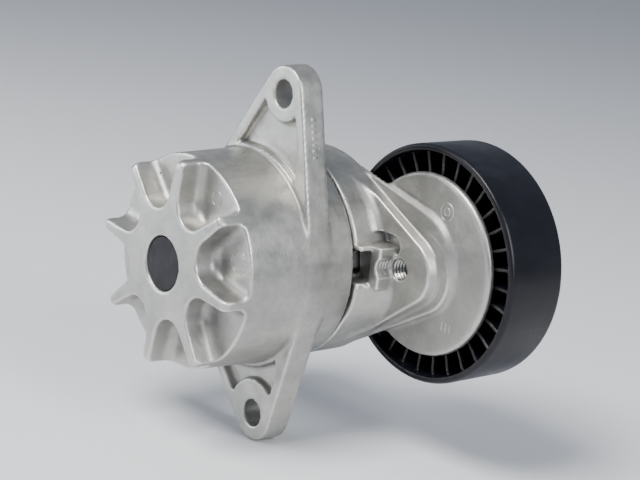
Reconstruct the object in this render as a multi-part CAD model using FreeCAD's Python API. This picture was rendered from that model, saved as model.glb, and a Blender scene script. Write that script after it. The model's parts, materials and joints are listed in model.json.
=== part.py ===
import FreeCAD
import Part
import math
import os

# Belt tensioner idler: a cast spring housing with two bolting ears, a cast arm that swings on
# the housing against a torsion spring, and a smooth plastic pulley on a ball bearing.
# Millimetres.  While the pieces are made, Y is the pivot axis and runs from the housing's closed
# end to the pulley, Z runs from ear to ear, and Y = 0 is the face that bolts to the engine.

# ---------------------------------------------------------------- driving dimensions
WALL_RADIUS = 33.0            # outside of the spring housing at its closed end
WALL_DRAFT = 0.9              # how much wider the housing is at its rim
WALL = 4.6                    # thickness of the housing wall
END_Y = -30.4                 # closed end of the housing
RIM_Y = 17.2                  # open rim of the housing
FLANGE_THICKNESS = 8.4
EAR_SPACING = 102.0           # between the two bolt holes
EAR_OFFSET = 12.6             # bolt line to pivot axis, on the pulley's side
EAR_RISE = 2.6                # middle of the bolt line above the pivot axis
EAR_RADIUS = 8.6
BOLT_HOLE_RADIUS = 4.25
ARM_LENGTH = 46.2             # pivot axis to pulley axis
ARM_ANGLE = 7.8               # rise of the arm above the line square to the ears, degrees
ARM_TRAVEL = 35.0             # swing of the arm from its stop, degrees
PULLEY_RADIUS = 37.0
PULLEY_WIDTH = 22.0
PULLEY_Y = 34.7               # front rim of the pulley
SHAFT_RADIUS = 7.0
BEARING_BORE = 8.5
BEARING_RADIUS = 20.0
BEARING_WIDTH = 12.0
BALL_RADIUS = 3.37
BALL_COUNT = 8
WIRE_RADIUS = 2.75            # wire of the torsion spring

# ---------------------------------------------------------------- fits and clearances
RUNNING = 0.05                # shaft in its bushes, balls in their grooves
GAP = 0.35                    # between curved faces that pass each other
FACE_GAP = 0.3                # between flat faces that pass each other

# ---------------------------------------------------------------- sizes that follow
ARM_X = ARM_LENGTH * math.cos(math.radians(ARM_ANGLE))
ARM_Z = ARM_LENGTH * math.sin(math.radians(ARM_ANGLE))
RIM_RADIUS = WALL_RADIUS + WALL_DRAFT
CAVITY_RADIUS = WALL_RADIUS - WALL + 0.4
POCKET_DEPTH = 8.5
FLOOR_Y = END_Y + POCKET_DEPTH + 3.5
BORE_RADIUS = SHAFT_RADIUS + 1.5
HUB_RADIUS = BORE_RADIUS + 5.0
HUB_TOP = RIM_Y - 6.2
WASHER_THICKNESS = 0.8
SEAL_THICKNESS = 0.9
ARM_FRONT = RIM_Y + SEAL_THICKNESS + 0.1
ARM_BACK = PULLEY_Y - 1.0
LUG_Y = ARM_FRONT + 10.7
NOSE_Y = LUG_Y + 3.2
DISC_Y = PULLEY_Y - 0.6
DISC_THICKNESS = 2.8
DISC_BACK = DISC_Y + DISC_THICKNESS
DISC_RADIUS = PULLEY_RADIUS - 8.6
ARM_HUB_RADIUS = RIM_RADIUS - 0.3
ARM_CAVITY_RADIUS = ARM_HUB_RADIUS - 5.5
ARM_CAVITY_BACK = ARM_BACK - 5.5
BOSS_RADIUS = BORE_RADIUS + 5.5
BEARING_Y = DISC_BACK + 1.9
BEARING_END = BEARING_Y + BEARING_WIDTH
PITCH_RADIUS = (BEARING_BORE + BEARING_RADIUS) / 2.0
STOP_RADIUS = BORE_RADIUS + 2.5
STOP_PIN_RADIUS = 1.5
STOP_PIN_HEIGHT = 4.5
STOP_ANGLE = 60.0
RETAINER_Y = END_Y + 6.2
SPRING_RADIUS = (CAVITY_RADIUS + HUB_RADIUS) / 2.0 + 0.7

ALONG_Y = FreeCAD.Vector(0, 1, 0)


# ---------------------------------------------------------------- shared shapes
def rod(radius, start, end, x=0.0, z=0.0):
    return Part.makeCylinder(radius, end - start, FreeCAD.Vector(x, start, z), ALONG_Y)


def ring(outer, inner, start, end, x=0.0, z=0.0):
    return rod(outer, start, end, x, z).cut(rod(inner, start, end, x, z))


def turned(profile, x=0.0, z=0.0, angle=360.0):
    """A closed profile of (radius, y) points, turned about the Y axis through x, z."""
    corners = [FreeCAD.Vector(x + radius, y, z) for radius, y in profile]
    face = Part.Face(Part.makePolygon(corners + corners[:1]))
    return face.revolve(FreeCAD.Vector(x, 0, z), ALONG_Y, angle)


def about_pivot(shape, degrees):
    """A copy of a shape, turned about the pivot axis from +X towards +Z."""
    copy = shape.copy()
    copy.rotate(FreeCAD.Vector(0, 0, 0), ALONG_Y, -degrees)
    return copy


def on_circle(centre, radius, angle, y):
    return FreeCAD.Vector(
        centre[0] + radius * math.cos(angle), y, centre[1] + radius * math.sin(angle)
    )


def belt_outline(big, big_radius, small, small_radius, y):
    """The outline of two circles and the two lines that touch both, at height y."""
    run_x = small[0] - big[0]
    run_z = small[1] - big[1]
    heading = math.atan2(run_z, run_x)
    lean = math.acos((big_radius - small_radius) / math.hypot(run_x, run_z))
    first_big = on_circle(big, big_radius, heading + lean, y)
    last_big = on_circle(big, big_radius, heading - lean, y)
    first_small = on_circle(small, small_radius, heading + lean, y)
    last_small = on_circle(small, small_radius, heading - lean, y)
    back_of_big = on_circle(big, big_radius, heading + math.pi, y)
    front_of_small = on_circle(small, small_radius, heading, y)
    return Part.Wire([
        Part.Arc(first_big, back_of_big, last_big).toShape(),
        Part.LineSegment(last_big, last_small).toShape(),
        Part.Arc(last_small, front_of_small, first_small).toShape(),
        Part.LineSegment(first_small, first_big).toShape(),
    ])


def belt_block(big, big_radius, small, small_radius, start, end):
    outline = belt_outline(big, big_radius, small, small_radius, start)
    return Part.Face(outline).extrude(FreeCAD.Vector(0, end - start, 0))


def tapered_block(near, start, far, end):
    """A block whose outline changes from near to far, each (centre, radius, centre, radius)."""
    return Part.makeLoft([belt_outline(*near, start), belt_outline(*far, end)], True, True)


def sector(inner, outer, start, end, first_angle, last_angle):
    """A piece of a ring about the pivot axis, between two angles in degrees."""
    corners = [(inner, start), (outer, start), (outer, end), (inner, end)]
    piece = turned(corners, angle=first_angle - last_angle)
    return about_pivot(piece, first_angle)


def edges_at(shape, y):
    """The edges of a shape that lie wholly in the plane at height y."""
    found = []
    for edge in shape.Edges:
        box = edge.BoundBox
        if abs(box.YMin - y) < 0.001 and abs(box.YMax - y) < 0.001:
            found.append(edge)
    return found


# ---------------------------------------------------------------- spring housing
TANG_ANGLE = 8.0
FLOOR_ABUTMENT = (TANG_ANGLE + 9.0, TANG_ANGLE + 32.0)
EAR_HEIGHTS = (EAR_RISE + EAR_SPACING / 2.0, EAR_RISE - EAR_SPACING / 2.0)
RECESS_DEPTH = 2.6
RECESS_REACH = 9.0            # from the bolt line to the recess's edge, on the pulley's side
POCKET_TURN = 14.5            # first end pocket, from the line to the pulley, degrees
POCKET_COUNT = 8
POCKET_ROOT = WALL_RADIUS * 0.73
POCKET_ROOT_RADIUS = WALL_RADIUS * 0.213
POCKET_MOUTH = WALL_RADIUS * 1.19
POCKET_MOUTH_RADIUS = WALL_RADIUS * 0.415
POCKET_FILLET = 3.0
ABUTMENT_HEIGHT = 6.0
BORDER = 3.6


def ear_root(height):
    """Centre of the circle that an ear grows from; the upper ear is slimmer on one side."""
    return (2.2, 0.0) if height > 0 else (0.8, 0.0)


def ear_boss(height):
    """Radius of the thick part round the bolt hole."""
    return EAR_RADIUS if height > 0 else EAR_RADIUS + 2.4


def ear_recess(height):
    """The weight-saving hollow between one ear's boss and the housing wall."""
    root = ear_root(height)
    hollow = belt_block(root, RIM_RADIUS - root[0] - BORDER, (EAR_OFFSET, height),
                        EAR_RADIUS - BORDER, -1.0, RECESS_DEPTH)
    boss = rod(ear_boss(height), -1.0, RECESS_DEPTH, EAR_OFFSET, height)
    web = Part.makeBox(RIM_RADIUS, 10.0, 2.0 * EAR_SPACING,
                       FreeCAD.Vector(EAR_OFFSET + RECESS_REACH, -5.0, -EAR_SPACING))
    return hollow.cut([boss, web, rod(RIM_RADIUS + 1.4, -1.0, RECESS_DEPTH)])


def flange():
    plate = rod(RIM_RADIUS, 0.0, FLANGE_THICKNESS)
    for height in EAR_HEIGHTS:
        hole = (EAR_OFFSET, height)
        root = ear_root(height)
        ear = tapered_block((root, RIM_RADIUS - root[0] - 0.4, hole, EAR_RADIUS), 0.0,
                            (root, RIM_RADIUS - root[0] - 0.1, hole, EAR_RADIUS + 0.3),
                            FLANGE_THICKNESS)
        plate = plate.fuse(ear.cut(ear_recess(height)))
    return plate


def end_pocket(angle):
    """One petal-shaped pocket in the closed end, open to the outside."""
    petal = belt_block((POCKET_MOUTH, 0), POCKET_MOUTH_RADIUS, (POCKET_ROOT, 0),
                       POCKET_ROOT_RADIUS, END_Y - 1.0, END_Y + POCKET_DEPTH)
    petal = petal.makeFillet(POCKET_FILLET, edges_at(petal, END_Y + POCKET_DEPTH))
    return about_pivot(petal, angle)


def housing_shell():
    """The cup: a slightly tapered wall, a closed end, and the hub for the shaft."""
    wall = turned([
        (0.0, END_Y), (WALL_RADIUS - 1.6, END_Y), (WALL_RADIUS - 0.5, END_Y + 0.5),
        (WALL_RADIUS, END_Y + 1.8), (RIM_RADIUS, 2.0), (RIM_RADIUS, RIM_Y), (0.0, RIM_Y),
    ])
    return wall.cut(ring(CAVITY_RADIUS, HUB_RADIUS, FLOOR_Y, RIM_Y)).cut(
        rod(CAVITY_RADIUS, HUB_TOP, RIM_Y))


def spring_housing():
    shell = housing_shell()
    for index in range(POCKET_COUNT):
        shell = shell.cut(end_pocket(POCKET_TURN + 360.0 * index / POCKET_COUNT))
    solid = shell.fuse(flange().cut(rod(RIM_RADIUS - 1.0, 0.0, FLANGE_THICKNESS)))
    solid = solid.cut(rod(BORE_RADIUS, END_Y, HUB_TOP))
    solid = solid.fuse(sector(HUB_RADIUS - 0.5, CAVITY_RADIUS + 0.5, FLOOR_Y - 0.5,
                              FLOOR_Y + ABUTMENT_HEIGHT, *FLOOR_ABUTMENT))
    for height in EAR_HEIGHTS:
        solid = solid.cut(rod(BOLT_HOLE_RADIUS, -1.0, FLANGE_THICKNESS + 1.0, EAR_OFFSET, height))
    return solid.cut(stop_pin()).removeSplitter()


def stop_pin():
    """The hard stop for the arm: a dowel in the end of the housing's hub."""
    pin = rod(STOP_PIN_RADIUS, HUB_TOP - 8.0, HUB_TOP + STOP_PIN_HEIGHT, STOP_RADIUS)
    return about_pivot(pin, STOP_ANGLE)


def end_plug():
    """A pressed cup that closes the shaft bore, just below the end face."""
    return turned([
        (0.0, END_Y + 0.7), (BORE_RADIUS - 0.5, END_Y + 0.7), (BORE_RADIUS, END_Y + 1.2),
        (BORE_RADIUS, END_Y + 3.6), (BORE_RADIUS - 1.0, END_Y + 3.6),
        (BORE_RADIUS - 1.0, END_Y + 1.9), (0.0, END_Y + 1.9),
    ])


def front_bush():
    return ring(BORE_RADIUS, SHAFT_RADIUS + RUNNING, RETAINER_Y + 1.4, RETAINER_Y + 17.0)


def rear_bush():
    return ring(BORE_RADIUS, SHAFT_RADIUS + RUNNING, HUB_TOP - 16.0, HUB_TOP)


# ---------------------------------------------------------------- torsion spring and damper
SEAT_THICKNESS = 1.4
FLOOR_SEAT_TOP = FLOOR_Y + SEAT_THICKNESS
ARM_SEAT_FRONT = ARM_CAVITY_BACK - SEAT_THICKNESS
SPRING_START = FLOOR_SEAT_TOP + WIRE_RADIUS + 0.05
SPRING_END = ARM_SEAT_FRONT - WIRE_RADIUS - 0.3
SPRING_TURNS = 5.0
SEAT_WIDTH = 7.2


def torsion_spring():
    """Round wire on a helix, with a straight tang at the arm's end."""
    rise = SPRING_END - SPRING_START
    path = Part.makeHelix(rise / SPRING_TURNS, rise, SPRING_RADIUS)
    circle = Part.Circle(FreeCAD.Vector(SPRING_RADIUS, 0, 0), ALONG_Y, WIRE_RADIUS)
    profile = Part.Wire([circle.toShape()])
    coil = Part.Wire(path.Edges).makePipeShell([profile], True, True)
    coil.rotate(FreeCAD.Vector(0, 0, 0), FreeCAD.Vector(1, 0, 0), -90)
    coil.translate(FreeCAD.Vector(0, SPRING_START, 0))
    tang_start = SPRING_RADIUS - WIRE_RADIUS
    tang = Part.makeCylinder(WIRE_RADIUS, ARM_CAVITY_RADIUS - 0.6 - tang_start,
                             FreeCAD.Vector(tang_start, SPRING_END, 0), FreeCAD.Vector(1, 0, 0))
    return about_pivot(coil.fuse(tang), TANG_ANGLE)


def seat_ring(start, end):
    return ring(SPRING_RADIUS + SEAT_WIDTH / 2.0, SPRING_RADIUS - SEAT_WIDTH / 2.0, start, end)


def spring_floor_seat():
    return seat_ring(FLOOR_Y, FLOOR_SEAT_TOP).cut(
        sector(HUB_RADIUS, CAVITY_RADIUS, FLOOR_Y, FLOOR_SEAT_TOP, *FLOOR_ABUTMENT))


def spring_arm_seat():
    return seat_ring(ARM_SEAT_FRONT, ARM_CAVITY_BACK).cut(arm_abutment())


def split(shape, angle, width):
    """Cuts a radial slot through a ring, so that it can close on what it holds."""
    slot = Part.makeBox(60.0, 200.0, width, FreeCAD.Vector(0, -100.0, -width / 2.0))
    return shape.cut(about_pivot(slot, angle))


LINING_OUTER = CAVITY_RADIUS - GAP
NECK_OUTER = ARM_CAVITY_RADIUS - 0.1
NECK_END = SPRING_END - WIRE_RADIUS - 0.25
BAND_OUTER = SPRING_RADIUS + WIRE_RADIUS + 1.55


def friction_lining():
    """The damping sleeve: keyed in the arm, it rubs on the housing's inner wall."""
    lining = turned([
        (BAND_OUTER, -4.0), (LINING_OUTER, -4.0), (LINING_OUTER, RIM_Y - 0.6),
        (NECK_OUTER, RIM_Y - 0.6), (NECK_OUTER, NECK_END), (BAND_OUTER, NECK_END),
    ])
    return split(lining, 200.0, 6.0)


def damping_band():
    """A steel band inside the lining, which the spring's tang pushes outwards."""
    return split(ring(BAND_OUTER, BAND_OUTER - 0.8, -3.0, RIM_Y - 2.0), 200.0, 7.0)


def dust_seal():
    """The thin dark ring between the housing's rim and the arm."""
    return turned([
        (CAVITY_RADIUS + 1.0, RIM_Y), (RIM_RADIUS - 1.0, RIM_Y), (RIM_RADIUS - 1.3, ARM_FRONT - 0.1),
        (CAVITY_RADIUS + 1.0, ARM_FRONT - 0.1),
    ])


# ---------------------------------------------------------------- tension arm
CENTRE = (0.0, 0.0)
LUG = (ARM_HUB_RADIUS + 7.8, 3.8)     # threaded hole beside the hub, in x and z
LUG_NOSE = (LUG[0] + 2.6, LUG[1] + 0.2)
BOLT_NOSE = (ARM_X + 0.8, ARM_Z - 2.2)
ARM_TIP = (ARM_X - 2.0, ARM_Z + 1.2)
THREAD_RADIUS = 4.0
TAP_RADIUS = 3.4
LUG_DEPTH = 8.4
COLLAR_X = LUG[0] - 2.6
COLLAR_START = ARM_FRONT + 4.6
WINDOW_LOW = LUG[1] - 5.4
WINDOW_HIGH = LUG[1] + 4.8
WINDOW_DEPTH = 6.3
WINDOW_FRAME = 1.5
HOLLOW_DEPTH = 2.6
TANG_HALF_ANGLE = math.degrees(math.asin(WIRE_RADIUS / (SPRING_RADIUS - WIRE_RADIUS))) + 0.7
ARM_ABUTMENT = (TANG_ANGLE - 30.0, TANG_ANGLE - TANG_HALF_ANGLE)
SPIGOT_END = BEARING_END - 0.6
BOLT_RADIUS = 4.0


def arm_steps():
    """Beside the hub the body steps back three times on its way to the pulley's disc."""
    first = tapered_block((CENTRE, ARM_HUB_RADIUS, LUG_NOSE, 10.2), LUG_Y,
                          (CENTRE, ARM_HUB_RADIUS, LUG_NOSE, 11.4), NOSE_Y)
    second = tapered_block((CENTRE, ARM_HUB_RADIUS - 0.5, BOLT_NOSE, 12.8), NOSE_Y,
                           (CENTRE, ARM_HUB_RADIUS - 0.5, BOLT_NOSE, 13.8), DISC_Y + 0.5)
    third = tapered_block((CENTRE, ARM_HUB_RADIUS - 1.0, ARM_TIP, 14.6), NOSE_Y + 0.3,
                          (CENTRE, ARM_HUB_RADIUS - 1.0, ARM_TIP, 17.5), DISC_Y + 0.5)
    body = first.fuse([second, third])
    behind = rod(200.0, ARM_BACK, DISC_BACK).cut(
        rod(DISC_RADIUS - 0.5, ARM_BACK, DISC_BACK, ARM_X, ARM_Z))
    return body.cut(behind)


def lower_cheek():
    """Below the window the hub's side widens as it runs back to the lug's face."""
    near = (LUG_NOSE[0] * 0.42, LUG[1] - 7.8)
    far = (LUG_NOSE[0] * 0.60, LUG[1] - 7.8)
    cheek = tapered_block((CENTRE, ARM_HUB_RADIUS, near, ARM_HUB_RADIUS * 0.47), ARM_FRONT,
                          (CENTRE, ARM_HUB_RADIUS, far, ARM_HUB_RADIUS * 0.4), LUG_Y + 0.5)
    top = WINDOW_LOW - WINDOW_FRAME / 2.0
    below = Part.makeBox(100.0, 40.0, 60.0, FreeCAD.Vector(0, 0, top - 60.0))
    return cheek.common(below)


def hub_cove():
    """The sloping corner between the hub's side and the lug's face."""
    cove = turned([
        (ARM_HUB_RADIUS - 1.0, LUG_Y - 3.4), (ARM_HUB_RADIUS, LUG_Y - 3.4),
        (ARM_HUB_RADIUS + 0.7, LUG_Y - 1.2), (ARM_HUB_RADIUS + 2.4, LUG_Y + 0.2),
        (ARM_HUB_RADIUS - 1.0, LUG_Y + 0.2),
    ])
    return cove.common(belt_block(CENTRE, ARM_HUB_RADIUS, LUG_NOSE, 10.0, 0.0, NOSE_Y))


def collar_hollow():
    """The round-ended hollow in the lug's face, along the upper side of the collar."""
    half = 3.5
    height = WINDOW_HIGH + WINDOW_FRAME
    return belt_block((ARM_HUB_RADIUS - 2.0, height), half, (COLLAR_X - 1.9, height), half - 0.01,
                      COLLAR_START, LUG_Y + HOLLOW_DEPTH).cut(
                          rod(ARM_HUB_RADIUS, 0.0, NOSE_Y))


def lug_bore():
    """The tapping-size hole; its tap also leaves a half-round channel in the collar."""
    end = LUG_Y + LUG_DEPTH
    return turned([
        (0.0, COLLAR_START - 1.0), (THREAD_RADIUS, COLLAR_START - 1.0), (THREAD_RADIUS, LUG_Y),
        (TAP_RADIUS, LUG_Y), (TAP_RADIUS, end), (0.0, end + 0.5 * TAP_RADIUS),
    ], *LUG)


def window_collar():
    """The frame of the window: a lip on the hub's side, and a block beside the threaded hole."""
    low = WINDOW_LOW - WINDOW_FRAME
    height = WINDOW_HIGH + WINDOW_FRAME - low
    inside = ARM_HUB_RADIUS - 4.0
    lip = Part.makeBox(ARM_HUB_RADIUS + 1.4 - inside, COLLAR_START - ARM_FRONT, height,
                       FreeCAD.Vector(inside, ARM_FRONT, low))
    block = Part.makeBox(COLLAR_X - inside, LUG_Y + HOLLOW_DEPTH + 0.5 - COLLAR_START, height,
                         FreeCAD.Vector(inside, COLLAR_START, low))
    return lip.fuse(block)


def window():
    """The notch in the hub's side that shows the end of the spring."""
    height = WINDOW_HIGH - WINDOW_LOW
    start = FreeCAD.Vector(ARM_CAVITY_RADIUS - 6.0, ARM_FRONT - 1.0, WINDOW_LOW)
    wall = Part.makeBox(ARM_HUB_RADIUS + 1.0 - start.x, WINDOW_DEPTH + 1.0, height, start)
    mouth = Part.makeBox(ARM_HUB_RADIUS + 4.0 - start.x, COLLAR_START + 1.0 - ARM_FRONT, height,
                         start)
    return wall.fuse(mouth).cut(rod(ARM_CAVITY_RADIUS - 0.5, ARM_FRONT - 1.0, LUG_Y))


def stop_groove():
    """The arc in the arm's boss that the stop pin runs in; its ends are the stops."""
    start = HUB_TOP
    end = HUB_TOP + STOP_PIN_HEIGHT + 0.6
    half = STOP_PIN_RADIUS + FACE_GAP
    groove = sector(STOP_RADIUS - half, STOP_RADIUS + half, start, end,
                    STOP_ANGLE, STOP_ANGLE + ARM_TRAVEL)
    for angle in (STOP_ANGLE, STOP_ANGLE + ARM_TRAVEL):
        groove = groove.fuse(about_pivot(rod(half, start, end, STOP_RADIUS), angle))
    return groove


def arm_abutment():
    """The block in the arm that the spring's tang pushes against."""
    return sector(BOSS_RADIUS - 0.5, ARM_CAVITY_RADIUS + 0.5, ARM_FRONT + 3.4,
                  ARM_CAVITY_BACK + 0.5, *ARM_ABUTMENT)


def back_pocket(angle):
    pocket = belt_block((ARM_HUB_RADIUS * 0.72, 0), 4.4, (ARM_HUB_RADIUS * 0.53, 0), 2.8,
                        ARM_BACK - 3.0, ARM_BACK + 1.0)
    return about_pivot(pocket, angle)


def pulley_disc():
    """The round plate in the mouth of the pulley, with the spigot for the bearing."""
    return turned([
        (0.0, DISC_Y), (DISC_RADIUS - 1.2, DISC_Y), (DISC_RADIUS - 0.3, DISC_Y + 0.4),
        (DISC_RADIUS, DISC_Y + 1.4), (DISC_RADIUS, DISC_BACK - 0.8),
        (DISC_RADIUS - 0.8, DISC_BACK), (BEARING_BORE + 3.0, DISC_BACK),
        (BEARING_BORE + 2.5, BEARING_Y - 1.0), (BEARING_BORE, BEARING_Y - 1.0),
        (BEARING_BORE, SPIGOT_END - 0.6), (BEARING_BORE - 0.6, SPIGOT_END),
        (0.0, SPIGOT_END),
    ], ARM_X, ARM_Z)


def tension_arm():
    hub = turned([
        (0.0, ARM_FRONT), (ARM_HUB_RADIUS - 0.6, ARM_FRONT), (ARM_HUB_RADIUS, ARM_FRONT + 0.6),
        (ARM_HUB_RADIUS, ARM_BACK - 1.5), (ARM_HUB_RADIUS - 1.5, ARM_BACK), (0.0, ARM_BACK),
    ])
    solid = hub.fuse([arm_steps(), lower_cheek(), hub_cove(), pulley_disc()])
    solid = solid.cut(collar_hollow()).fuse(window_collar())
    solid = solid.cut(rod(ARM_CAVITY_RADIUS, ARM_FRONT, ARM_CAVITY_BACK)).cut(window())
    boss = rod(BOSS_RADIUS, HUB_TOP + WASHER_THICKNESS + RUNNING, ARM_CAVITY_BACK + 0.5)
    solid = solid.fuse([boss.cut(stop_groove()), arm_abutment()])
    for index in range(1, 6):
        solid = solid.cut(back_pocket(60.0 * index))
    solid = solid.cut(lug_bore()).cut(rod(SHAFT_RADIUS, HUB_TOP, ARM_BACK))
    return solid.cut(rod(BOLT_RADIUS, BEARING_Y + 1.0, BEARING_END, ARM_X, ARM_Z)).removeSplitter()


def pivot_shaft():
    """Pressed into the arm; the far end carries the retaining ring."""
    start = RETAINER_Y - 1.4
    return turned([
        (0.0, start), (SHAFT_RADIUS - 0.6, start), (SHAFT_RADIUS, start + 0.6),
        (SHAFT_RADIUS, RETAINER_Y), (SHAFT_RADIUS - 1.0, RETAINER_Y),
        (SHAFT_RADIUS - 1.0, RETAINER_Y + 1.2), (SHAFT_RADIUS, RETAINER_Y + 1.2),
        (SHAFT_RADIUS, ARM_BACK - 1.4), (SHAFT_RADIUS - 0.8, ARM_BACK - 0.6),
        (0.0, ARM_BACK - 0.6),
    ])


def retaining_ring():
    return split(ring(BORE_RADIUS - GAP, SHAFT_RADIUS - 1.0, RETAINER_Y, RETAINER_Y + 1.2),
                 100.0, 4.0)


def thrust_washer():
    start = HUB_TOP + RUNNING
    return ring(STOP_RADIUS - STOP_PIN_RADIUS - GAP, SHAFT_RADIUS, start, start + WASHER_THICKNESS)


# ---------------------------------------------------------------- pulley and bearing
# These are made about the Y axis and then moved to the pulley's axis.
PULLEY_BACK = PULLEY_Y + PULLEY_WIDTH
LIP = 2.3
RECESS_RADIUS = PULLEY_RADIUS - LIP
SLEEVE_RADIUS = BEARING_RADIUS + 1.8
PULLEY_HUB_RADIUS = SLEEVE_RADIUS + 3.0
HUB_FRONT = DISC_BACK + 0.9
HUB_BACK = BEARING_END + 0.6
WEB_FRONT = PULLEY_Y + 11.0
WEB_BACK = WEB_FRONT + 3.2
RIB_COUNT = 32
RIB_THICKNESS = 1.1
BEARING_MIDDLE = (BEARING_Y + BEARING_END) / 2.0
INNER_LAND = PITCH_RADIUS - 2.55
OUTER_LAND = PITCH_RADIUS + 2.55
SEAL_INSET = 1.2
SEAL_RADIUS = OUTER_LAND + 0.7
CAGE_THICKNESS = 2.7


def on_pulley_axis(shape):
    shape.translate(FreeCAD.Vector(ARM_X, 0, ARM_Z))
    return shape


def radial_rib(profile, angle):
    """A thin plate with a (radius, y) outline, standing on a radius."""
    half = RIB_THICKNESS / 2.0
    corners = [FreeCAD.Vector(radius, y, -half) for radius, y in profile]
    plate = Part.Face(Part.makePolygon(corners + corners[:1]))
    return about_pivot(plate.extrude(FreeCAD.Vector(0, 0, RIB_THICKNESS)), angle)


def pulley_rim():
    tyre = turned([
        (RECESS_RADIUS + 0.3, PULLEY_Y), (PULLEY_RADIUS - 1.0, PULLEY_Y),
        (PULLEY_RADIUS - 0.3, PULLEY_Y + 0.3), (PULLEY_RADIUS, PULLEY_Y + 1.0),
        (PULLEY_RADIUS, PULLEY_BACK - 1.0), (PULLEY_RADIUS - 0.3, PULLEY_BACK - 0.3),
        (PULLEY_RADIUS - 1.0, PULLEY_BACK), (RECESS_RADIUS + 0.3, PULLEY_BACK),
        (RECESS_RADIUS - 0.7, WEB_BACK), (PULLEY_HUB_RADIUS, WEB_BACK),
        (PULLEY_HUB_RADIUS - 0.5, HUB_BACK), (SLEEVE_RADIUS, HUB_BACK),
        (SLEEVE_RADIUS, HUB_FRONT), (PULLEY_HUB_RADIUS - 0.5, HUB_FRONT),
        (PULLEY_HUB_RADIUS, WEB_FRONT), (RECESS_RADIUS - 0.7, WEB_FRONT),
    ])
    root = PULLEY_HUB_RADIUS - 1.0
    tip = RECESS_RADIUS + 0.4
    front = [(root, WEB_FRONT + 0.5), (root, HUB_FRONT + 0.2), (DISC_RADIUS + 0.8, HUB_FRONT),
             (tip, PULLEY_Y + 2.6), (tip, WEB_FRONT + 0.5)]
    back = [(root, WEB_BACK - 0.5), (tip, WEB_BACK - 0.5), (tip, PULLEY_BACK - 2.0),
            (root, HUB_BACK - 0.3)]
    ribs = []
    for index in range(RIB_COUNT):
        angle = 360.0 * index / RIB_COUNT
        ribs.append(radial_rib(front, angle))
        ribs.append(radial_rib(back, angle))
    return on_pulley_axis(tyre.fuse(ribs))


def bearing_sleeve():
    """The steel sleeve that the plastic is moulded round."""
    return on_pulley_axis(ring(SLEEVE_RADIUS, BEARING_RADIUS, BEARING_Y, BEARING_END + 0.2))


def race_groove():
    return Part.makeTorus(PITCH_RADIUS, BALL_RADIUS + RUNNING,
                          FreeCAD.Vector(0, BEARING_MIDDLE, 0), ALONG_Y)


def bearing_inner_ring():
    race = ring(INNER_LAND, BEARING_BORE, BEARING_Y, BEARING_END)
    return on_pulley_axis(race.cut(race_groove()))


def bearing_outer_ring():
    race = ring(BEARING_RADIUS, OUTER_LAND, BEARING_Y, BEARING_END).cut(race_groove())
    for start in (BEARING_Y, BEARING_END - SEAL_INSET):
        race = race.cut(rod(SEAL_RADIUS, start, start + SEAL_INSET))
    return on_pulley_axis(race)


def front_seal():
    return on_pulley_axis(ring(SEAL_RADIUS, INNER_LAND + GAP, BEARING_Y + 0.3,
                               BEARING_Y + SEAL_INSET))


def rear_seal():
    return on_pulley_axis(ring(SEAL_RADIUS, INNER_LAND + GAP, BEARING_END - SEAL_INSET,
                               BEARING_END - 0.3))


def ball_at(angle, radius):
    ball = Part.makeSphere(radius, FreeCAD.Vector(PITCH_RADIUS, BEARING_MIDDLE, 0))
    return about_pivot(ball, angle)


def bearing_balls():
    balls = [ball_at(360.0 * index / BALL_COUNT, BALL_RADIUS) for index in range(BALL_COUNT)]
    return on_pulley_axis(Part.makeCompound(balls))


def bearing_cage():
    """A crown cage: open pockets on one side, a closed ring on the other."""
    cage = ring(PITCH_RADIUS + CAGE_THICKNESS / 2.0, PITCH_RADIUS - CAGE_THICKNESS / 2.0,
                BEARING_MIDDLE - 2.0, BEARING_MIDDLE + 4.4)
    pocket = Part.makeCylinder(BALL_RADIUS + 0.1, 2.0 * BALL_RADIUS,
                               FreeCAD.Vector(PITCH_RADIUS - BALL_RADIUS, BEARING_MIDDLE, 0),
                               FreeCAD.Vector(1, 0, 0))
    for index in range(BALL_COUNT):
        cage = cage.cut(about_pivot(pocket, 360.0 * index / BALL_COUNT))
    return on_pulley_axis(cage)


def bearing_spacer():
    return on_pulley_axis(ring(BEARING_BORE + 2.3, BEARING_BORE, BEARING_Y - 1.0, BEARING_Y))


def dust_shield():
    """A dished steel plate over the back of the bearing, held under the bolt."""
    rise = BEARING_END + 0.8
    return on_pulley_axis(turned([
        (BOLT_RADIUS, BEARING_END), (INNER_LAND - 0.2, BEARING_END),
        (INNER_LAND + 0.8, rise), (BEARING_RADIUS - 0.6, rise), (BEARING_RADIUS, rise + 0.5),
        (BEARING_RADIUS - 0.6, rise + 1.0), (INNER_LAND - 0.2, rise + 1.0),
        (INNER_LAND - 1.2, BEARING_END + 1.0), (BOLT_RADIUS, BEARING_END + 1.0),
    ]))


def bolt_washer():
    start = BEARING_END + 1.0
    return on_pulley_axis(ring(BOLT_RADIUS * 2.3, BOLT_RADIUS, start, start + 1.4))


def pulley_bolt():
    """Hexagon head with a pressed flange; the shank runs into the arm's spigot."""
    seat = BEARING_END + 2.4
    shank = turned([
        (0.0, BEARING_Y + 1.6), (BOLT_RADIUS - 0.8, BEARING_Y + 1.6),
        (BOLT_RADIUS, BEARING_Y + 2.4), (BOLT_RADIUS, seat), (BOLT_RADIUS * 2.1, seat),
        (BOLT_RADIUS * 2.1, seat + 0.7), (BOLT_RADIUS * 1.7, seat + 1.6), (0.0, seat + 1.6),
    ])
    corner = BOLT_RADIUS * 1.625 / math.cos(math.radians(30))
    points = [on_circle(CENTRE, corner, math.radians(60 * index), seat + 1.0)
              for index in range(6)]
    hexagon = Part.Face(Part.makePolygon(points + points[:1])).extrude(FreeCAD.Vector(0, 5.0, 0))
    crown = turned([
        (0.0, seat), (corner + 1.0, seat), (corner + 1.0, seat + 4.0),
        (corner - 1.4, seat + 6.0), (0.0, seat + 6.0),
    ])
    return on_pulley_axis(shank.fuse(hexagon.common(crown)).removeSplitter())


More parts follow.
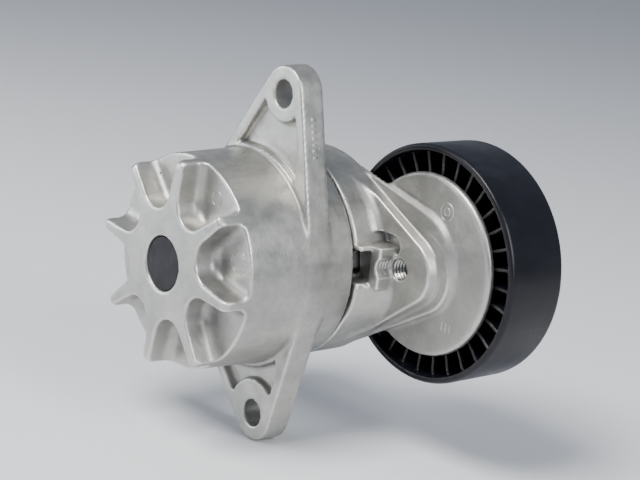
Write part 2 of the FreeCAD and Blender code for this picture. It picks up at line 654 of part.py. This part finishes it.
# ---------------------------------------------------------------- every piece, by node name
PIECES = {
    "spring_housing": spring_housing,
    "stop_pin": stop_pin,
    "end_plug": end_plug,
    "front_bush": front_bush,
    "rear_bush": rear_bush,
    "spring_floor_seat": spring_floor_seat,
    "torsion_spring": torsion_spring,
    "dust_seal": dust_seal,
    "tension_arm": tension_arm,
    "pivot_shaft": pivot_shaft,
    "retaining_ring": retaining_ring,
    "thrust_washer": thrust_washer,
    "spring_arm_seat": spring_arm_seat,
    "friction_lining": friction_lining,
    "damping_band": damping_band,
    "bearing_inner_ring": bearing_inner_ring,
    "bearing_spacer": bearing_spacer,
    "dust_shield": dust_shield,
    "bolt_washer": bolt_washer,
    "pulley_bolt": pulley_bolt,
    "pulley_rim": pulley_rim,
    "bearing_sleeve": bearing_sleeve,
    "bearing_outer_ring": bearing_outer_ring,
    "front_seal": front_seal,
    "rear_seal": rear_seal,
    "bearing_cage": bearing_cage,
    "bearing_balls": bearing_balls,
}

# The finished part has its origin midway between the bolt holes, in the bolting face.
os.makedirs("parts", exist_ok=True)
for name, make in PIECES.items():
    shape = make()
    shape.translate(FreeCAD.Vector(-EAR_OFFSET, 0, -EAR_RISE))
    shape.exportStep("parts/" + name + ".step")
    print(name, round(shape.Volume, 1), shape.isValid(), len(shape.Solids))
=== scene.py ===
import bmesh
import bpy
import json
import math
import numpy as np
from mathutils import Matrix, Vector


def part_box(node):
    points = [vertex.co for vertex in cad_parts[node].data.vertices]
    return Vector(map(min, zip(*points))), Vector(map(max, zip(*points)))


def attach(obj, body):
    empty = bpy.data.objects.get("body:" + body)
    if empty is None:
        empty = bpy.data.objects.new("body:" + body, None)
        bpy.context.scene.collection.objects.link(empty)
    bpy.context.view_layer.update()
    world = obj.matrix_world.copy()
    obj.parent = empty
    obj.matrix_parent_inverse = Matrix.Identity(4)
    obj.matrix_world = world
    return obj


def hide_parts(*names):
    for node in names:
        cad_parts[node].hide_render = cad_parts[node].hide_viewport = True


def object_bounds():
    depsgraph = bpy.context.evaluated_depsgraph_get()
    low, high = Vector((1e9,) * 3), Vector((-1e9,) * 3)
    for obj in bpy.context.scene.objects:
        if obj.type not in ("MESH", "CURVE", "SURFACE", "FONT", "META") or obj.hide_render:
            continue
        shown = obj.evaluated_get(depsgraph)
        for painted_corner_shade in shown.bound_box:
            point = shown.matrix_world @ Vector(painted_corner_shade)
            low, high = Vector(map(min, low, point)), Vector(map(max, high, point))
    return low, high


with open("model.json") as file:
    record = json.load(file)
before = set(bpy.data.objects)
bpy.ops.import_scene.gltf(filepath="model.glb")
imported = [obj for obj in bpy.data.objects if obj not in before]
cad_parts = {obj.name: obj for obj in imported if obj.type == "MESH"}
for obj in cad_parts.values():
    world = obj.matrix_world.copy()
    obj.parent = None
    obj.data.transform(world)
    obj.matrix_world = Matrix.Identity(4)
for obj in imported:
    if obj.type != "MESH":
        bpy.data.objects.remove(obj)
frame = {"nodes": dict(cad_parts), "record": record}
start_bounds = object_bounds()

# ------------------------------------------------------------------ spring housing
# The die-cast cup with its two ears.  Cast aluminium, left as cast apart from the bored holes.
# Made from the CAD solid: skinned again so that every edge gets the small radius of a casting.


MERGE_DISTANCE = 2e-6
SHRINK = 0.5                  # smoothing step inwards
SWELL = 0.47                  # and the step back that keeps the volume
WEAR_AND_LIGHT_MASK_GAIN = 4.0               # how fast the "edge" attribute leaves its middle value


def node_materials(name, material):
    """Gives every slot of a CAD node the same material."""
    mesh = frame["nodes"][name].data
    if not mesh.materials:
        mesh.materials.append(material)
    for index in range(len(mesh.materials)):
        mesh.materials[index] = material


def vertex_array(mesh):
    flat = np.empty(len(mesh.vertices) * 3)
    mesh.vertices.foreach_get("co", flat)
    return flat.reshape(-1, 3)


def edge_array(mesh):
    flat = np.empty(len(mesh.edges) * 2, dtype=np.int64)
    mesh.edges.foreach_get("vertices", flat)
    return flat.reshape(-1, 2)


def neighbour_mean(points, edges):
    total = np.zeros_like(points)
    count = np.zeros(len(points))
    for a, b in ((0, 1), (1, 0)):
        np.add.at(total, edges[:, a], points[edges[:, b]])
        np.add.at(count, edges[:, a], 1.0)
    return total / np.maximum(count, 1.0)[:, None]


def rounded_copy(node, name, voxel, passes, keep, before_thinning=None):
    """A copy of a CAD node with moulded radii on its edges, and its curvature as an attribute.

    before_thinning, where given, works on the dense skin and may store the attribute itself.
    """
    source = bmesh.new()
    source.from_mesh(frame["nodes"][node].data)
    bmesh.ops.remove_doubles(source, verts=source.verts, dist=MERGE_DISTANCE)
    mesh = bpy.data.meshes.new(name)
    source.to_mesh(mesh)
    source.free()
    piece = bpy.data.objects.new(name, mesh)
    bpy.context.scene.collection.objects.link(piece)
    remesh = piece.modifiers.new("skin", "REMESH")
    remesh.mode = "VOXEL"
    remesh.voxel_size = voxel
    remesh.adaptivity = 0.0
    apply_modifiers(piece)
    points = vertex_array(piece.data)
    edges = edge_array(piece.data)
    for _ in range(passes):
        points = points + SHRINK * (neighbour_mean(points, edges) - points)
        points = points - SWELL * (neighbour_mean(points, edges) - points)
    for _ in range(passes // 2):
        points = points + SHRINK * (neighbour_mean(points, edges) - points)
    piece.data.vertices.foreach_set("co", points.ravel())
    piece.data.update()
    if before_thinning:
        before_thinning(piece.data)
    thin = piece.modifiers.new("thin", "DECIMATE")
    thin.ratio = keep
    apply_modifiers(piece)
    if "edge" not in piece.data.attributes:
        store_wear_and_painted_light_mask(piece.data)
    piece.data.shade_smooth()
    return piece


def apply_modifiers(piece):
    depsgraph = bpy.context.evaluated_depsgraph_get()
    result = bpy.data.meshes.new_from_object(piece.evaluated_get(depsgraph))
    piece.modifiers.clear()
    old = piece.data
    piece.data = result
    bpy.data.meshes.remove(old)


def store_wear_and_painted_light_mask(mesh):
    """Attribute "edge": 0.5 where flat, towards 1 on outward edges, towards 0 in corners."""
    points = vertex_array(mesh)
    edges = edge_array(mesh)
    normals = np.empty(len(points) * 3)
    mesh.vertex_normals.foreach_get("vector", normals)
    normals = normals.reshape(-1, 3)
    length = np.linalg.norm(points[edges[:, 0]] - points[edges[:, 1]], axis=1).mean()
    bend = ((points - neighbour_mean(points, edges)) * normals).sum(axis=1) / length
    for _ in range(3):
        bend = 0.5 * bend + 0.5 * neighbour_mean(np.repeat(bend[:, None], 3, 1), edges)[:, 0]
    value = np.clip(0.5 + WEAR_AND_LIGHT_MASK_GAIN * bend, 0.0, 1.0)
    attribute = mesh.attributes.new("edge", "FLOAT", "POINT")
    attribute.data.foreach_set("value", value)


class Nodes:
    """Adds shader nodes to a material and joins them."""

    def __init__(self, name):
        self.material = bpy.data.materials.new(name)
        self.material.use_nodes = True
        self.tree = self.material.node_tree
        self.shader = self.tree.nodes["Principled BSDF"]
        self.place = self.add("ShaderNodeTexCoord").outputs["Object"]

    def add(self, kind, **values):
        node = self.tree.nodes.new(kind)
        for key, value in values.items():
            if key in node.inputs:
                node.inputs[key].default_value = value
            else:
                setattr(node, key, value)
        return node

    def join(self, output, socket):
        self.tree.links.new(output, socket)

    def noise(self, scale, detail=4.0, roughness=0.55, stretch=None):
        place = self.place
        if stretch:
            mapping = self.add("ShaderNodeMapping", Scale=stretch)
            self.join(place, mapping.inputs["Vector"])
            place = mapping.outputs["Vector"]
        node = self.add("ShaderNodeTexNoise", Scale=scale, Detail=detail, Roughness=roughness)
        self.join(place, node.inputs["Vector"])
        return node.outputs["Fac"]

    def cells(self, scale):
        node = self.add("ShaderNodeTexVoronoi", Scale=scale)
        self.join(self.place, node.inputs["Vector"])
        return node.outputs["Distance"]

    def attribute(self, name):
        return self.add("ShaderNodeAttribute", attribute_name=name).outputs["Fac"]

    def range(self, value, low, high, to_low, to_high):
        node = self.add("ShaderNodeMapRange")
        node.inputs["From Min"].default_value = low
        node.inputs["From Max"].default_value = high
        node.inputs["To Min"].default_value = to_low
        node.inputs["To Max"].default_value = to_high
        self.join(value, node.inputs["Value"])
        return node.outputs["Result"]

    def math(self, operation, first, second):
        node = self.add("ShaderNodeMath", operation=operation)
        for value, socket in ((first, node.inputs[0]), (second, node.inputs[1])):
            if isinstance(value, (int, float)):
                socket.default_value = value
            else:
                self.join(value, socket)
        return node.outputs["Value"]

    def mix(self, factor, first, second):
        node = self.add("ShaderNodeMix", data_type="RGBA")
        colours = ((first, node.inputs[6]), (second, node.inputs[7]))
        for value, socket in colours:
            if isinstance(value, tuple):
                socket.default_value = (*value, 1.0)
            else:
                self.join(value, socket)
        self.join(factor, node.inputs[0])
        return node.outputs[2]

    def bump(self, height, strength, distance, under=None):
        node = self.add("ShaderNodeBump", Strength=strength, Distance=distance)
        self.join(height, node.inputs["Height"])
        if under:
            self.join(under, node.inputs["Normal"])
        return node.outputs["Normal"]

    def finish(self, colour, roughness, normal, metallic):
        for value, key in ((colour, "Base Color"), (roughness, "Roughness"),
                           (normal, "Normal"), (metallic, "Metallic")):
            socket = self.shader.inputs[key]
            if isinstance(value, tuple):
                socket.default_value = (*value, 1.0)
            elif isinstance(value, (int, float)):
                socket.default_value = value
            elif value is not None:
                self.join(value, socket)
        return self.material


def cast_aluminium():
    """Warm grey, clouded by the die, with flow marks, stains, small dents darkened as painted
    shade, painted shade in corners, and bright edges, partly worn and partly a painted highlight.
    """
    n = Nodes("cast_aluminium")
    cloud = n.range(n.noise(48.0, 6.0, 0.62), 0.36, 0.66, 0.0, 1.0)
    stain = n.range(n.noise(19.0, 5.0, 0.66), 0.48, 0.66, 0.0, 1.0)
    flow = n.range(n.noise(95.0, 5.0, 0.6, (1.0, 0.3, 1.0)), 0.46, 0.66, 0.0, 1.0)
    speckle = n.range(n.noise(620.0, 3.0, 0.6), 0.42, 0.62, 0.0, 1.0)
    # Outward edges lightened and made glossier: partly wear, partly a painted highlight.
    worn_edge_and_painted_highlight = n.range(n.attribute("edge"), 0.57, 0.80, 0.0, 1.0)
    # Painted shade: corners and creases darkened through the edge mask.
    painted_corner_shade = n.range(n.attribute("edge"), 0.45, 0.24, 0.0, 1.0)
    colour = n.mix(cloud, (0.36, 0.355, 0.335), (0.50, 0.495, 0.465))
    colour = n.mix(n.math("MULTIPLY", stain, 0.55), colour, (0.27, 0.27, 0.265))
    colour = n.mix(n.math("MULTIPLY", flow, 0.35), colour, (0.58, 0.57, 0.53))
    colour = n.mix(n.math("MULTIPLY", speckle, 0.22), colour, (0.30, 0.295, 0.29))
    colour = n.mix(n.math("MULTIPLY", painted_corner_shade, 0.7), colour, (0.16, 0.158, 0.155))
    colour = n.mix(n.math("MULTIPLY", worn_edge_and_painted_highlight, 0.85), colour, (0.88, 0.87, 0.83))
    # Small dents: sunk by the bump below, and darkened in colour as painted shade.
    dents_with_painted_shade = n.range(n.cells(340.0), 0.12, 0.03, 0.0, 1.0)
    rare = n.range(n.noise(70.0, 2.0), 0.58, 0.66, 0.0, 1.0)
    dents_with_painted_shade = n.math("MULTIPLY", dents_with_painted_shade, rare)
    colour = n.mix(n.math("MULTIPLY", dents_with_painted_shade, 0.8), colour, (0.10, 0.098, 0.095))
    rough = n.range(n.noise(210.0, 4.0), 0.3, 0.7, 0.34, 0.52)
    rough = n.math("SUBTRACT", rough, n.math("MULTIPLY", worn_edge_and_painted_highlight, 0.12))
    normal = n.bump(n.noise(42.0, 4.0), 0.35, 0.0010)
    normal = n.bump(n.noise(1100.0, 3.0, 0.6), 0.30, 0.00014, normal)
    normal = n.bump(n.math("SUBTRACT", 1.0, dents_with_painted_shade), 0.7, 0.0004, normal)
    return n.finish(colour, rough, normal, 0.9)


casting_material = cast_aluminium()
housing = rounded_copy("spring_housing", "housing_casting", voxel=0.00052, passes=6, keep=0.42)
housing.data.materials.clear()
housing.data.materials.append(casting_material)
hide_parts("spring_housing")
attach(housing, "housing")

# ------------------------------------------------------------------ moulding marks on the housing
# Plain raised rings and dashes that a die leaves: a dial ring in one end pocket, ejector rings
# in three others, and a row of dashes on the upper ear's edge.  Part of the same casting.
POCKET_FLOOR = 0.0085         # depth of the end pockets
POCKET_MIDDLE = 0.0275        # from the pivot axis to the middle of a pocket
MARK_HEIGHT = 0.00022
DIAL_POCKET = 14.5            # degrees round the pivot axis
EJECTOR_POCKETS = (59.5, 149.5, 284.5)
DIAL_RADII = (0.0034, 0.0024)
TICK_RADIUS = 0.0029
EJECTOR_RADIUS = 0.0022
housing_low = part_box("spring_housing")[0]
pivot_joint = [j for j in frame["record"]["behaviour"]["joints"] if j["name"] == "arm_pivot"][0]
pivot = Vector(pivot_joint["pos_m"])


def raised_ring(mesh, centre, radius, height):
    """A half-sunk round bead, bent to a ring in the plane square to the pivot axis."""
    turn = Matrix.Translation(centre + Vector((radius, 0.0, 0.0)))
    bead = bmesh.ops.create_circle(mesh, cap_ends=False, segments=10, radius=height, matrix=turn)
    edges = list({edge for vertex in bead["verts"] for edge in vertex.link_edges})
    bmesh.ops.spin(mesh, geom=bead["verts"] + edges, cent=centre, axis=(0.0, 1.0, 0.0),
                   angle=2.0 * math.pi, steps=48, use_merge=True)


def raised_dash(mesh, centre, turn, length, width, height):
    """A low rounded bar."""
    size = Matrix.Diagonal((height * 2.0, width, length, 1.0))
    place = Matrix.Translation(centre) @ turn @ size
    bar = bmesh.ops.create_cube(mesh, size=1.0, matrix=place)
    edges = list({edge for vertex in bar["verts"] for edge in vertex.link_edges})
    bmesh.ops.bevel(mesh, geom=edges, offset=height * 0.7, offset_type="OFFSET", segments=2,
                    profile=0.5, affect="EDGES", material=-1)


def finish_marks(mesh, name, body):
    bmesh.ops.remove_doubles(mesh, verts=mesh.verts, dist=1e-7)
    bmesh.ops.recalc_face_normals(mesh, faces=mesh.faces)
    data = bpy.data.meshes.new(name)
    mesh.to_mesh(data)
    mesh.free()
    data.shade_smooth()
    # The edge value 0.62 lightens the marks a little: partly wear, partly a painted highlight.
    attribute = data.attributes.new("edge", "FLOAT", "POINT")
    attribute.data.foreach_set("value", np.full(len(data.vertices), 0.62))
    data.materials.append(casting_material)
    piece = bpy.data.objects.new(name, data)
    bpy.context.scene.collection.objects.link(piece)
    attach(piece, body)


def pocket_point(degrees, radius):
    angle = math.radians(degrees)
    floor = housing_low.y + POCKET_FLOOR
    return Vector((pivot.x + radius * math.cos(angle), floor, pivot.z + radius * math.sin(angle)))


marks = bmesh.new()
for ring_radius in DIAL_RADII:
    raised_ring(marks, pocket_point(DIAL_POCKET, POCKET_MIDDLE), ring_radius, MARK_HEIGHT)
for step in range(12):
    spoke = Matrix.Rotation(math.radians(30.0 * step), 4, "Y")
    tick = pocket_point(DIAL_POCKET, POCKET_MIDDLE) + spoke @ Vector((0.0, 0.0, TICK_RADIUS))
    raised_dash(marks, tick, spoke @ Matrix.Rotation(math.radians(90.0), 4, "Z"),
                0.0006, 0.00035, MARK_HEIGHT)
for degrees in EJECTOR_POCKETS:
    ring_place = pocket_point(degrees, POCKET_MIDDLE - 0.001)
    raised_ring(marks, ring_place, EJECTOR_RADIUS, MARK_HEIGHT * 0.8)
EAR_LEAN = math.radians(13.6)          # the ear's side leans this much off square to its length
EAR_SIDE = 0.03344                     # from the pivot axis, square to the ear's side
EAR_MIDDLE_Y = 0.0042                  # middle of the ear's thickness
FIRST_DASH = 0.0295                    # along the ear's side
DASH_STEP = 0.0019
DASH_LENGTHS_MM = (0.9, 1.3, 0.7, 1.3, 1.1, 0.8, 1.2)
edge_turn = Matrix.Rotation(-EAR_LEAN, 4, "Y")
edge_face = Vector((math.cos(EAR_LEAN), 0.0, math.sin(EAR_LEAN))) * EAR_SIDE
edge_way = Vector((-math.sin(EAR_LEAN), 0.0, math.cos(EAR_LEAN)))
for step, length in enumerate(DASH_LENGTHS_MM):
    along = edge_way * (FIRST_DASH + DASH_STEP * step)
    middle_of_edge = Vector((pivot.x, EAR_MIDDLE_Y, pivot.z)) + edge_face + along
    raised_dash(marks, middle_of_edge, edge_turn, length * 0.001, 0.0020, MARK_HEIGHT)
finish_marks(marks, "housing_marks", "housing")

# ------------------------------------------------------------------ tension arm
# The cast arm with its hub, threaded lug and pulley disc.  Cast aluminium.
# Made from the CAD solid in the same way as the housing.
arm = rounded_copy("tension_arm", "arm_casting", voxel=0.00044, passes=5, keep=0.45)
arm.data.materials.clear()
arm.data.materials.append(casting_material)
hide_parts("tension_arm")
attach(arm, "arm")

# ------------------------------------------------------------------ marks and thread on the arm
# A plain ring and three dashes cast on the pulley's disc, and the thread cut in the lug's hole,
# whose tap also scored the window's collar.
spin_joint = [j for j in frame["record"]["behaviour"]["joints"] if j["name"] == "pulley_spin"][0]
pulley_axis = Vector(spin_joint["pos_m"])
DISC_FACE = 0.0341
RING_OFFSET = (0.0078, 0.0184)         # from the pulley's axis, across and up
DASH_OFFSET = (0.0113, -0.0165)
DISC_DASH_STEP = 0.0017
marks = bmesh.new()
ring_place = Vector((pulley_axis.x + RING_OFFSET[0], DISC_FACE, pulley_axis.z + RING_OFFSET[1]))
for ring_radius in (0.0027, 0.0012):
    raised_ring(marks, ring_place, ring_radius, MARK_HEIGHT)
flat_turn = Matrix.Rotation(math.radians(90.0), 4, "Z")
for step in range(3):
    across = pulley_axis.x + DASH_OFFSET[0] + DISC_DASH_STEP * step
    place = Vector((across, DISC_FACE, pulley_axis.z + DASH_OFFSET[1]))
    raised_dash(marks, place, flat_turn, 0.0026, 0.0008, MARK_HEIGHT)
finish_marks(marks, "arm_marks", "arm")

THREAD_PITCH = 0.00125
THREAD_HEIGHT = 0.00042
THREAD_ROOT = 0.0002          # how far the ridge's foot is sunk in the wall
hole = [m for m in frame["record"]["mounts"] if m["name"] == "lug_thread"][0]
hole_radius = hole["dims"]["r_mm"] * 0.001
hole_middle = Vector(hole["pos_m"])
hole_start = hole_middle.y - hole["dims"]["length_mm"] * 0.0005


def thread_ridge(mesh, radius, start, first_angle, sweep, steps):
    """A helical ridge inside a bore: one triangular tooth, spun forward along the bore's axis."""
    centre = Vector((hole_middle.x, start, hole_middle.z))
    turn = Matrix.Rotation(first_angle, 4, "Y")
    profile = ((radius + THREAD_ROOT, 0.0), (radius - THREAD_HEIGHT, THREAD_PITCH * 0.5),
               (radius + THREAD_ROOT, THREAD_PITCH))
    corners = [mesh.verts.new(centre + turn @ Vector((r, y, 0.0))) for r, y in profile]
    tooth = mesh.faces.new(corners)
    advance = THREAD_PITCH * abs(sweep) / (2.0 * math.pi) / steps
    bmesh.ops.spin(mesh, geom=corners + list(tooth.edges) + [tooth], cent=centre,
                   axis=(0.0, 1.0, 0.0), dvec=(0.0, advance, 0.0), angle=sweep, steps=steps)


def cut_aluminium():
    n = Nodes("cut_aluminium")
    patch = n.range(n.noise(500.0, 3.0), 0.35, 0.7, 0.0, 1.0)
    tone = n.mix(patch, (0.34, 0.34, 0.32), (0.50, 0.49, 0.47))
    rough = n.range(n.noise(900.0, 2.0), 0.3, 0.7, 0.24, 0.40)
    normal = n.bump(n.noise(2500.0, 2.0), 0.2, 0.00004)
    return n.finish(tone, rough, normal, 1.0)


ridges = bmesh.new()
TURNS = 6
STEPS_PER_TURN = 36
thread_ridge(ridges, hole_radius, hole_start + 0.0002, 0.0, 2.0 * math.pi * TURNS,
             STEPS_PER_TURN * TURNS)
SCORE_RADIUS = 0.0041
SCORE_SWEEP = 72.0            # degrees of the collar that the tap touched
for step in range(4):
    start = hole_start - 0.0003 - THREAD_PITCH * (step + 1)
    thread_ridge(ridges, SCORE_RADIUS, start, math.radians(180.0 - SCORE_SWEEP / 2.0),
                 math.radians(SCORE_SWEEP), 12)
bmesh.ops.recalc_face_normals(ridges, faces=ridges.faces)
thread_mesh = bpy.data.meshes.new("lug_thread")
ridges.to_mesh(thread_mesh)
ridges.free()
thread_mesh.materials.append(cut_aluminium())
thread = bpy.data.objects.new("lug_thread", thread_mesh)
bpy.context.scene.collection.objects.link(thread)
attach(thread, "arm")


# ------------------------------------------------------------------ pulley
# The smooth running face, its web and its ribs.  Glass-filled polyamide, moulded in one shot
# on the bearing's sleeve: black, satin, a little dusty; its sharpest edges paler, partly rubbed and
# partly a painted highlight.
def pulley_polymer():
    n = Nodes("pulley_polymer")
    dust = n.range(n.noise(38.0, 6.0, 0.65), 0.50, 0.72, 0.0, 1.0)
    smudge = n.range(n.noise(110.0, 4.0, 0.6, (1.0, 0.5, 1.0)), 0.5, 0.72, 0.0, 1.0)
    # Sharpest edges lightened: partly rubbing, partly a painted highlight.
    rubbed_edge_and_painted_highlight = n.range(n.attribute("edge"), 0.84, 0.99, 0.0, 1.0)
    colour = n.mix(n.math("MULTIPLY", dust, 0.45), (0.003, 0.0032, 0.006), (0.011, 0.012, 0.018))
    colour = n.mix(n.math("MULTIPLY", smudge, 0.3), colour, (0.018, 0.019, 0.028))
    colour = n.mix(n.math("MULTIPLY", rubbed_edge_and_painted_highlight, 0.6), colour, (0.075, 0.072, 0.070))
    rough = n.range(n.noise(70.0, 4.0), 0.3, 0.7, 0.25, 0.42)
    normal = n.bump(n.noise(900.0, 2.0), 0.10, 0.00008)
    n.shader.inputs["Specular IOR Level"].default_value = 0.32
    return n.finish(colour, rough, normal, 0.0)


FACE_BAND = 0.0004            # depth of the skin that counts as the running face
TURNED_DEPTH = 0.0012         # depth of the skin that is moved with it
FACE_HALF_WIDTH = 0.008       # the part of the face that the true radius is read from
running_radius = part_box("pulley_rim")[1].x - pulley_axis.x


def turn_running_face(mesh):
    """Moves the outer skin from the flats of the CAD mesh to a true circle, and stores its edge
    mask for rubbed edges and painted highlight.
    """
    points = vertex_array(mesh)
    from_axis = points[:, [0, 2]] - np.array((pulley_axis.x, pulley_axis.z))
    radius = np.hypot(from_axis[:, 0], from_axis[:, 1])
    angle = np.arctan2(from_axis[:, 1], from_axis[:, 0]) % (2.0 * math.pi)
    middle_y = (points[:, 1].min() + points[:, 1].max()) / 2.0
    on_face = radius > running_radius - FACE_BAND
    on_face &= abs(points[:, 1] - middle_y) < FACE_HALF_WIDTH
    order = np.argsort(angle[on_face])
    flats = np.interp(angle, angle[on_face][order], radius[on_face][order], period=2.0 * math.pi)
    grow = np.where(radius > running_radius - TURNED_DEPTH, running_radius / flats, 1.0)
    points[:, 0] = pulley_axis.x + from_axis[:, 0] * grow
    points[:, 2] = pulley_axis.z + from_axis[:, 1] * grow
    mesh.vertices.foreach_set("co", points.ravel())
    mesh.update()
    store_wear_and_painted_light_mask(mesh)


tyre = rounded_copy("pulley_rim", "pulley_tyre", voxel=0.00038, passes=5, keep=0.30,
                    before_thinning=turn_running_face)
tyre.data.materials.clear()
tyre.data.materials.append(pulley_polymer())
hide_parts("pulley_rim")
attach(tyre, "pulley")


# ------------------------------------------------------------------ steel, bronze and rubber pieces
# The bearing, the bolt and the small pieces inside.  Each keeps its CAD shape.
def steel(name, colour, spots, low, high, grain):
    """Bare or plated steel: a slight tint in patches, and a fine turned grain."""
    n = Nodes(name)
    patch = n.range(n.noise(140.0, 4.0), 0.35, 0.7, 0.0, 1.0)
    tone = n.mix(patch, colour, spots)
    rough = n.range(n.noise(400.0, 3.0), 0.3, 0.7, low, high)
    normal = n.bump(n.noise(grain, 2.0, 0.5, (1.0, 6.0, 1.0)), 0.15, 0.00005)
    return n.finish(tone, rough, normal, 1.0)


def dull(name, colour, dusty, low, high):
    """Rubber or plain plastic: matte, with a light bloom."""
    n = Nodes(name)
    bloom = n.range(n.noise(160.0, 5.0), 0.4, 0.75, 0.0, 1.0)
    tone = n.mix(bloom, colour, dusty)
    rough = n.range(n.noise(300.0, 3.0), 0.3, 0.7, low, high)
    normal = n.bump(n.noise(1200.0, 2.0), 0.25, 0.00008)
    n.shader.inputs["Specular IOR Level"].default_value = 0.25
    return n.finish(tone, rough, normal, 0.0)


FINISHES = {
    "hard_steel": steel("hard_steel", (0.50, 0.50, 0.51),
        (0.40, 0.40, 0.41), 0.22, 0.38, 900.0),
    "spring_steel": steel("spring_steel", (0.46, 0.46, 0.45),
        (0.33, 0.33, 0.33), 0.35, 0.55, 700.0),
    "bearing_steel": steel("bearing_steel", (0.62, 0.62, 0.63),
        (0.55, 0.55, 0.56), 0.14, 0.26, 900.0),
    "zinc_plate": steel("zinc_plate", (0.66, 0.66, 0.63),
        (0.55, 0.56, 0.56), 0.28, 0.45, 600.0),
    "bush_bronze": steel("bush_bronze", (0.55, 0.40, 0.20),
        (0.42, 0.30, 0.15), 0.35, 0.55, 600.0),
    "blackened_steel": dull("blackened_steel", (0.007, 0.006, 0.009),
        (0.020, 0.018, 0.024), 0.42, 0.62),
    "seal_rubber": dull("seal_rubber", (0.010, 0.010, 0.010),
        (0.025, 0.025, 0.025), 0.6, 0.8),
    "lining_polymer": dull("lining_polymer", (0.030, 0.028, 0.026),
        (0.06, 0.055, 0.05), 0.5, 0.7),
    "seat_polymer": dull("seat_polymer", (0.62, 0.58, 0.48),
        (0.70, 0.66, 0.56), 0.45, 0.6),
}
for entry in frame["record"]["subparts"]:
    if entry["material_slot"] in FINISHES:
        node_materials(entry["node"], FINISHES[entry["material_slot"]])


# ------------------------------------------------------------------ floor, light and camera
# A plain pale flat floor under the lowest point, three soft lamps, and the camera.
def floor_material():
    n = Nodes("floor")
    tone = n.mix(n.noise(3.0), (0.72, 0.73, 0.75), (0.76, 0.77, 0.79))
    normal = n.bump(n.noise(250.0), 0.05, 0.0002)
    return n.finish(tone, 0.6, normal, 0.0)


def make_floor():
    low = start_bounds[0].z
    mesh = bpy.data.meshes.new("floor")
    reach = 6.0                # half the floor's width
    corners = [(-reach, -reach, low), (reach, -reach, low),
               (reach, reach, low), (-reach, reach, low)]
    mesh.from_pydata(corners, [], [(0, 1, 2, 3)])
    mesh.materials.append(floor_material())
    floor = bpy.data.objects.new("floor", mesh)
    bpy.context.scene.collection.objects.link(floor)


def soft_lamp(name, place, target, size, power, colour):
    light = bpy.data.lights.new(name, "AREA")
    light.shape = "RECTANGLE"
    light.size = size[0]
    light.size_y = size[1]
    light.energy = power
    light.color = colour
    lamp = bpy.data.objects.new(name, light)
    lamp.location = place
    lamp.rotation_euler = (Vector(target) - Vector(place)).to_track_quat("-Z", "Y").to_euler()
    bpy.context.scene.collection.objects.link(lamp)


def make_camera():
    """Stands in front of the housing's closed end, to the pulley's side and a little above."""
    distance = 0.5107
    from_middle = Vector((0.7265, -0.6406, 0.2485)).normalized()
    aim = Vector((0.0079, 0.0140, 0.0064))
    data = bpy.data.cameras.new("camera")
    data.sensor_width = 36.0
    data.lens = 93.2
    data.clip_start = 0.01
    camera = bpy.data.objects.new("camera", data)
    look = (-from_middle).to_track_quat("-Z", "Y").to_matrix().to_4x4()
    roll = Matrix.Rotation(math.radians(6.12), 4, "Z")
    camera.matrix_world = Matrix.Translation(aim + from_middle * distance) @ look @ roll
    bpy.context.scene.collection.objects.link(camera)
    bpy.context.scene.camera = camera


make_floor()
middle = (0.02, 0.01, 0.0)
soft_lamp("key", (0.05, -0.45, 0.80), middle, (0.40, 0.40), 13.0, (1.0, 0.985, 0.95))
soft_lamp("side", (0.85, 0.05, 0.45), middle, (0.30, 0.50), 6.5, (0.97, 0.98, 1.0))
soft_lamp("fill", (-0.60, -0.55, 0.20), middle, (0.50, 0.50), 4.2, (0.90, 0.94, 1.0))
world = bpy.data.worlds.new("studio")
world.use_nodes = True
world.node_tree.nodes["Background"].inputs["Color"].default_value = (0.72, 0.80, 0.95, 1.0)
world.node_tree.nodes["Background"].inputs["Strength"].default_value = 0.38
bpy.context.scene.world = world
make_camera()
